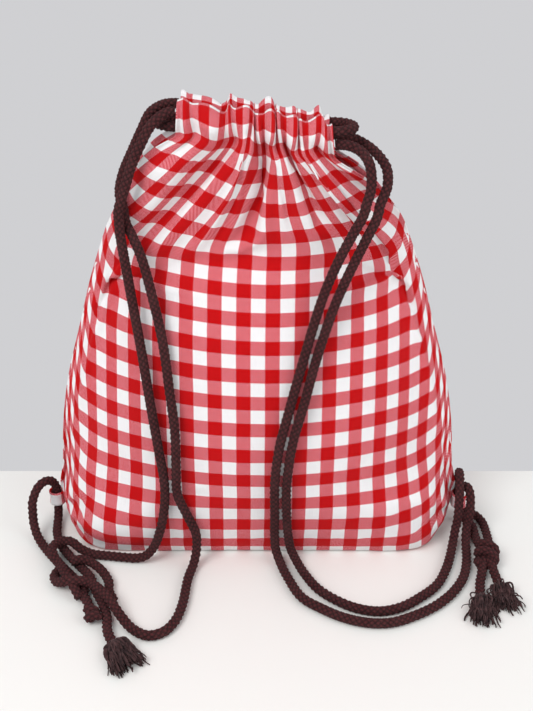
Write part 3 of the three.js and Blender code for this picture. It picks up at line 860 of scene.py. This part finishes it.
def filling():
    """A smooth stand-in for what fills the sack, which the cloth falls on. It isn't kept."""
    z = np.concatenate([np.linspace(0.004, 0.206, 40), [0.216, 0.222]])
    shrink = np.concatenate([np.ones(40), [0.8, 0.35]])
    us = np.sin(np.linspace(-math.pi / 2, math.pi / 2, 40))
    inset = 0.0032 + 0.004 * ease(z, 0.17, 0.21)
    rings = []
    for level, share, depth in zip(z, shrink, inset):
        front = skin(us, np.full_like(us, level), -1, depth)
        back = skin(us[::-1], np.full_like(us, level), 1, depth)
        ring = np.vstack([front[:-1], back[:-1]])
        middle = ring.mean(axis=0)
        rings.append(middle + (ring - middle) * (share, share, 1))
    index = np.arange(len(rings) * len(rings[0])).reshape(len(rings), -1)
    index = np.hstack([index, index[:, :1]])
    faces = quads(index, False) + [index[0, :-1][::-1].tolist(), index[-1, :-1].tolist()]
    return add_mesh("filling", np.vstack(rings), faces, gingham)


def flat_pattern():
    """The cut of both panels laid flat: narrower in the neck, and shorter along the side seams."""
    us = np.linspace(-0.5, 0.5, COLUMNS + 1) * CLOTH_WIDE
    ts = np.linspace(0, CLOTH_TALL, ROWS + 1)
    pattern = np.zeros((ROWS + 1, COLUMNS + 1, 3))
    shorter = 1 - SIDE_TAKE_UP * np.abs(2 * us / CLOTH_WIDE) ** 4
    narrower = 1 - NECK_TAKE_UP * ease(ts, 0.17, 0.30)
    pattern[:, :, 0] = us[None, :] * narrower[:, None]
    pattern[:, :, 2] = ts[:, None] * shorter[None, :]
    return np.vstack([pattern.reshape(-1, 3)] * 2)


def held_points(front, front_index, back_index, shared_rows):
    """The points that don't move: the foot of the casing, the rows under the base, the side seams."""
    under = int(np.argmax(front[:, COLUMNS // 2, 1] <= STATIONS[0][2] * 0.9))
    parts = [front_index[-2:], back_index[-2:], front_index[:under], back_index[:under]]
    parts.append(front_index[:shared_rows, [0, -1]])
    return [int(i) for part in parts for i in part.ravel()]


def as_cotton(sack, flat):
    """Thin cotton, pressed outward a little by what fills the sack."""
    cloth = sack.modifiers.new("cloth", "CLOTH")
    settings = cloth.settings
    settings.quality = 7
    settings.mass = 0.12
    settings.tension_stiffness = 20
    settings.compression_stiffness = 12
    settings.shear_stiffness = 6
    settings.bending_stiffness = 0.12
    settings.tension_damping = settings.compression_damping = 12
    settings.air_damping = 3
    settings.vertex_group_mass = "held"
    settings.rest_shape_key = flat
    settings.use_pressure = True
    settings.uniform_pressure_force = 0.35
    cloth.collision_settings.distance_min = 0.0012
    cloth.collision_settings.collision_quality = 3
    cloth.point_cache.frame_start, cloth.point_cache.frame_end = 1, SIM_FRAMES


def fall():
    """Lets the flat-cut cloth settle over the filling, and returns the front and back grids."""
    front, back = start_panel(-1), start_panel(1)
    seam_middle = (front[:, [0, -1]] + back[:, [0, -1]]) / 2
    shared_rows = int(np.searchsorted(seam_middle[:, 0, 2], SEAM_TOP))
    front[:shared_rows, [0, -1]] = seam_middle[:shared_rows]
    front_index, back_index = grid_index(shared_rows)
    points = np.vstack([front.reshape(-1, 3), back.reshape(-1, 3)])
    faces = quads(front_index, False) + quads(back_index, True)
    sack = add_mesh("falling", points, faces, gingham)
    sack.shape_key_add(name="start")
    flat = sack.shape_key_add(name="flat")
    flat.data.foreach_set("co", flat_pattern().ravel())
    held = sack.vertex_groups.new(name="held")
    held.add(held_points(front, front_index, back_index, shared_rows), 1.0, "REPLACE")

    solid = filling()
    solid.modifiers.new("collision", "COLLISION")
    solid.collision.thickness_outer = 0.001
    solid.collision.cloth_friction = 6
    as_cotton(sack, flat)
    scene = bpy.context.scene
    scene.gravity = (0, 0, -9.81)
    for number in range(1, SIM_FRAMES + 1):
        scene.frame_set(number)
    settled = sack.evaluated_get(bpy.context.evaluated_depsgraph_get()).to_mesh()
    flat_list = np.empty(len(settled.vertices) * 3)
    settled.vertices.foreach_get("co", flat_list)
    found = flat_list.reshape(-1, 3)
    for used in (sack, solid):
        bpy.data.objects.remove(used, do_unlink=True)
    scene.frame_set(1)
    return beside_seams(found[front_index], front, -1), beside_seams(found[back_index], back, 1)


def beside_seams(settled, start, outward):
    """Near the side seams the cloth keeps its start shape, with the small puckers of the stitching."""
    us = np.abs(np.linspace(-1, 1, COLUMNS + 1))
    near = ease(us, 0.70, 0.90)[None, :, None]
    shape = settled * (1 - near) + start * near
    height = shape[:, :, 2]
    ramp = ease(us, 0.72, 0.93)[None, :] * (1 - ease(us, 0.95, 1.0))[None, :]
    pucker = np.sin(height * 2 * math.pi / 0.021 + 3 * np.sin(height * 37)) * ease(height, 0.02, 0.05)
    shape[:, :, 1] += outward * 0.0014 * pucker * ramp
    for side in (-1, 1):
        tab = np.array((side * 0.156, 0.0, 0.021))
        reach = np.linalg.norm(shape - tab, axis=2)
        turn = np.arctan2(shape[:, :, 2] - tab[2], side * (tab[0] - shape[:, :, 0]))
        drag = np.cos(7 * turn + 0.8 + side) * np.exp(-reach / 0.032) * ease(reach, 0.004, 0.022)
        shape[:, :, 1] += outward * DRAG_DEEP * drag * ease(height, 0.001, 0.008)
    return shape


def casing_rows(foot, middle_y, outward, back):
    """The casing's tube of cloth, from the gather up its outer face, over the top and down inside."""
    us = np.linspace(-1, 1, COLUMNS + 1)
    ruffle = pleat(us, back) - 0.5
    unlike = 1 + 0.9 * np.sin(us * 13 + 1.1) * np.cos(us * 5.3)
    x, foot_z = foot[:, 0], foot[:, 2]
    rows = []
    for share in np.linspace(0, 1, CASING_ROWS + 1)[1:]:
        turn = math.pi * ease(share, 0.22, 0.72)
        lift = min(share / 0.36, 1.0) if share < 0.5 else min((1 - share) / 0.36, 1.0)
        z = foot_z + (CASING_TALL - 0.003) * lift
        z = z + 0.003 * math.sin(turn) * (1 + 0.9 * ruffle)
        reach = CASING_DEPTH / 2 * math.cos(turn)
        fullness = PLEAT_DEEP * (0.35 + 0.65 * (1 - share)) * (0.85 + 0.15 * math.cos(turn))
        puff = 0.0046 * math.sin(math.pi * lift) * (0.3 + 0.9 * (ruffle + 0.5)) * unlike
        reach += puff if share < 0.5 else 0
        y = middle_y + outward * (reach + ruffle * fullness * (1 if share < 0.5 else 0.45))
        z = z + 0.0026 * math.sin(turn) * np.sin(us * 9 + 0.7) * np.cos(us * 23)
        lean = 0.0022 * math.sin(math.pi * lift / 2) * np.sin(us * 17 + 0.5)
        rows.append(np.column_stack([x + lean, y, z]))
    return np.array(rows)


def doubled(grid):
    """The grid with a smooth point put between every two, along both directions."""
    for axis in (0, 1):
        grid = np.moveaxis(grid, axis, 0)
        padded = np.concatenate([[2 * grid[0] - grid[1]], grid, [2 * grid[-1] - grid[-2]]])
        middle = (9 * (padded[1:-2] + padded[2:-1]) - padded[:-3] - padded[3:]) / 16
        made = np.empty((2 * len(grid) - 1, *grid.shape[1:]))
        made[::2], made[1::2] = grid, middle
        grid = np.moveaxis(made, 0, axis)
    return grid


def grid_normals(grid):
    normals = np.cross(np.gradient(grid, axis=1), np.gradient(grid, axis=0))
    return normals / (np.linalg.norm(normals, axis=2)[:, :, None] + 1e-12)


def press_behind_cords(grid, names):
    """Pushes the cloth in where a cord lies on it, so that it passes under the cord."""
    normals = grid_normals(grid)
    clear = CORD_R + 0.0007
    for name in names:
        for centre, nearby in nearest_points(grid, paths[name][::3], 0.012):
            offset = grid[nearby] - centre
            depth = np.einsum("ij,ij->i", offset, normals[nearby])
            aside = np.linalg.norm(offset - depth[:, None] * normals[nearby], axis=1)
            under = np.sqrt(np.clip(clear**2 - aside**2, 0, None))
            excess = np.where(aside < clear, depth + under, 0).clip(0, 0.006)
            grid[nearby] -= normals[nearby] * excess[:, None]
    return grid


def nearest_points(grid, centres, reach):
    for centre in centres:
        distance = np.linalg.norm(grid - centre, axis=2)
        nearby = distance < reach
        if nearby.any():
            yield centre, nearby


def softened(grid, times):
    for _ in range(times):
        inner = grid[1:-1, 1:-1]
        around = grid[:-2, 1:-1] + grid[2:, 1:-1] + grid[1:-1, :-2] + grid[1:-1, 2:]
        grid[1:-1, 1:-1] = inner * 0.6 + around * 0.1
    return grid


def apply_modifiers(made):
    bpy.context.view_layer.update()
    seen = made.evaluated_get(bpy.context.evaluated_depsgraph_get())
    mesh = bpy.data.meshes.new_from_object(seen)
    made.modifiers.clear()
    made.data = mesh
    return made


def thicken(made, thickness, offset):
    shell = made.modifiers.new("thickness", "SOLIDIFY")
    shell.thickness = thickness
    shell.offset = offset
    shell.use_even_offset = False
    return apply_modifiers(made)


def gingham_places(grid):
    """Where the gingham lies on a panel: across it, and up it.

    Across, it is laid at true distances from the panel's middle, so that the checks keep their
    size. Towards the casing it turns into the even spacing of the gathered cloth, sooner at the
    sides than in the middle.
    """
    rows, columns = grid.shape[:2]
    even = np.linspace(0, CLOTH_WIDE, columns)
    up = np.linspace(0, CUT_TALL, rows)
    steps = np.linalg.norm(np.diff(grid, axis=1), axis=2)
    run = np.concatenate([np.zeros((rows, 1)), np.cumsum(steps, axis=1)], axis=1)
    true = run - run[:, columns // 2, None] + CLOTH_WIDE / 2
    for _ in range(40):
        true[1:-1] = true[1:-1] * 0.5 + (true[:-2] + true[2:]) * 0.25
    aside = np.abs(np.linspace(-1, 1, columns))
    gathered = ease(up[:, None], GATHER_FROM - 0.12 * aside, GATHER_FROM + 0.040)
    return true + (even - true) * gathered, up


def make_cloth(name, grid, outward):
    """One sheet of cloth from its grid of points."""
    rows, columns = grid.shape[:2]
    across, up = gingham_places(grid)
    index = np.arange(rows * columns).reshape(rows, columns)
    faces = quads(index, outward > 0)
    uv = np.array([(across[i // columns, i % columns], up[i // columns]) for face in faces for i in face])
    made = add_mesh(name, grid.reshape(-1, 3), faces, gingham, "cloth", uv)
    return thicken(made, CLOTH_THICK, -1.0)


front_grid, back_grid = fall()
front_grid = np.concatenate([front_grid, casing_rows(front_grid[-1], CASING_FRONT_Y, -1, False)])
back_grid = np.concatenate([back_grid, casing_rows(back_grid[-1], CASING_BACK_Y, 1, True)])
front_grid = softened(doubled(front_grid), 2)
back_grid = softened(doubled(back_grid), 2)
ON_THE_FRONT = [name for name in paths if name.endswith(("shoulder", "strap"))]
front_grid = press_behind_cords(front_grid, ON_THE_FRONT)
for grid in (front_grid, back_grid):
    grid[:, :, 2] = grid[:, :, 2].clip(0.0008, None)
pieces["front_cloth"] = make_cloth("front_cloth", front_grid, -1)
pieces["back_cloth"] = make_cloth("back_cloth", back_grid, 1)

# ---------------------------------------------------------------- seams and corner tabs

SEAM_DEEP = 0.010
TAB_LOW, TAB_HIGH = 0.016, 0.027
TAB_THICK = 0.0012
TAB_HALF_X = 0.0046  # half the hole, round one cord
TAB_HALF_TWO = 0.0088  # half its length, round two cords side by side


def make_strip(name, rows):
    """A strip of doubled cloth through rows of points."""
    grid = np.array(rows)
    index = np.arange(grid.shape[0] * grid.shape[1]).reshape(grid.shape[:2])
    faces = quads(index, False)
    along = np.concatenate([[0], np.cumsum(np.linalg.norm(np.diff(grid[0], axis=0), axis=1))])
    across = np.concatenate([[0], np.cumsum(np.linalg.norm(np.diff(grid[:, 0], axis=0), axis=1))])
    columns = grid.shape[1]
    uv = np.array([(across[i // columns], along[i % columns]) for face in faces for i in face])
    made = add_mesh(f"{name}_cloth", grid.reshape(-1, 3), faces, gingham, "cloth", uv)
    pieces[name] = thicken(made, 2 * CLOTH_THICK, 0.0)


def seam_allowance(name, edge, inward, ripple):
    """The raw edges of both panels, standing on the inside along a seam."""
    wave = ripple * np.sin(np.arange(len(edge)) * 0.45)[:, None] * np.array((0, 1, 0))
    shares = np.linspace(0.08, 1, 5)
    make_strip(name, [edge + inward * SEAM_DEEP * share + wave * share for share in shares])


def corner_tab(name, hole_x, half_y):
    """A loop of doubled cloth round the cords at a lower corner, sewn shut at its inner side."""
    half_x = TAB_HALF_X + TAB_THICK / 2
    half_y = half_y + TAB_THICK / 2
    ring = []
    for angle in np.linspace(0, 2 * math.pi, 41):
        straight = (half_y - half_x) * math.copysign(1, math.sin(angle))
        ring.append((hole_x + half_x * math.cos(angle), straight + half_x * math.sin(angle), 0))
    ring = np.array(ring)
    heights = np.linspace(TAB_LOW, TAB_HIGH, 7)
    middle = np.array((hole_x, 0, 0))
    rows = []
    for height in heights:
        flare = 1 + 0.05 * math.cos(2 * math.pi * (height - TAB_LOW) / (TAB_HIGH - TAB_LOW))
        rows.append(middle + (ring - middle) * flare + np.array((0, 0, height)))
    make_strip(name, rows)


side_rows = int(np.searchsorted(front_grid[:, 0, 2], SEAM_TOP))
seam_allowance("left_side_seam", front_grid[:side_rows, 0], np.array((1.0, 0, 0)), 0.0012)
seam_allowance("right_side_seam", front_grid[:side_rows, -1], np.array((-1.0, 0, 0)), 0.0012)
seam_allowance("bottom_seam", front_grid[0, 12:-12], np.array((0, 0, 1.0)), 0.0015)
corner_tab("left_corner_tab", -TAB_X, TAB_HALF_X)
corner_tab("right_corner_tab", TAB_X, TAB_HALF_TWO)

# ---------------------------------------------------------------- floor and light

floor_material, floor_shader = new_material("floor", 0.45)
floor_shader.inputs["Base Color"].default_value = (0.86, 0.86, 0.83, 1)
floor_points = [(-1.6, -1.6, 0), (1.6, -1.6, 0), (1.6, 0.066, 0), (-1.6, 0.066, 0)]
floor = add_mesh("floor", floor_points, [(0, 1, 2, 3)], floor_material, smooth=False)


def area_light(name, place, aim, size, power):
    light = bpy.data.lights.new(name, "AREA")
    light.shape = "DISK"
    light.size = size
    light.energy = power
    lamp = bpy.data.objects.new(name, light)
    bpy.context.collection.objects.link(lamp)
    lamp.location = place
    lamp.rotation_euler = (Vector(aim) - Vector(place)).to_track_quat("-Z", "Y").to_euler()


area_light("key", (-0.7, -0.9, 1.3), (0, 0, 0.12), 0.9, 14)
area_light("fill", (1.0, -0.6, 0.8), (0, 0, 0.12), 1.2, 5)

world = bpy.data.worlds.new("studio")
world.use_nodes = True
world.node_tree.nodes["Background"].inputs["Color"].default_value = (0.70, 0.70, 0.72, 1)
world.node_tree.nodes["Background"].inputs["Strength"].default_value = 0.9
bpy.context.scene.world = world
bpy.context.scene.view_settings.view_transform = "Standard"

# ---------------------------------------------------------------- what each piece rides on


def bend(name, fixed, moving, start, end):
    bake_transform(pieces[name], fixed, moving, tuple(start), tuple(end))


for side in ("left", "right"):
    for face in ("front", "back"):
        mouth, strap = f"{face}_mouth", f"{side}_strap"
        neck, shoulder = f"{side}_{face}_neck", f"{side}_{face}_shoulder"
        bight = f"{side}_cord_{face}_bight"
        bend(neck, "sack", mouth, paths[neck][-1], paths[neck][0])
        bend(shoulder, "sack", strap, paths[shoulder][0], paths[shoulder][-1])
        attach(pieces[f"{side}_cord_{face}_casing_run"], mouth)
        casing_end, middle = (0, -1) if face == "front" else (-1, 0)
        bend(bight, "sack", mouth, paths[bight][middle], paths[bight][casing_end])
bend("left_tab_riser", "sack", "left_strap", paths["left_tab_riser"][-1], paths["left_tab_riser"][0])
bend("left_tab_return", "sack", "left_strap", paths["left_tab_return"][0], paths["left_tab_return"][-1])
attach(pieces["left_tab_pass"], "sack")
for face in ("front", "back"):
    foot, back_again = f"right_{face}_foot", f"right_return_{face}"
    bend(foot, "sack", "right_strap", paths[foot][-1], paths[foot][0])
    bend(back_again, "sack", "right_strap", paths[back_again][0], paths[back_again][-1])
    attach(pieces[f"right_tab_pass_{face}"], "sack")

MOUTH_LOW, MOUTH_HIGH = 0.243, 0.285
for face in ("front", "back"):
    y = station(MOUTH_LOW, 2 if face == "front" else 3)
    bend(f"{face}_cloth", "sack", f"{face}_mouth", (0, y, MOUTH_LOW), (0, y, MOUTH_HIGH))
    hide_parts(f"{face}_panel", f"{face}_gather", f"{face}_casing")

STANDS_FOR = {
    "left_cord_front_bight": "left_cord_bight",
    "right_cord_front_bight": "right_cord_bight",
    "left_knot_over": "left_knot",
    "left_bulb_wrap": "left_stub_bulb",
    "right_knot_wrap": "right_knot",
}
for name in ("left_side_seam", "right_side_seam", "bottom_seam", "left_corner_tab", "right_corner_tab"):
    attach(pieces[name], "sack")
for name, piece in pieces.items():
    if "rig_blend" not in piece and piece.parent is None:
        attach(piece, "left_strap" if name.startswith("left") else "right_strap")
    node = STANDS_FOR.get(name, name)
    if node in frame["nodes"]:
        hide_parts(node)
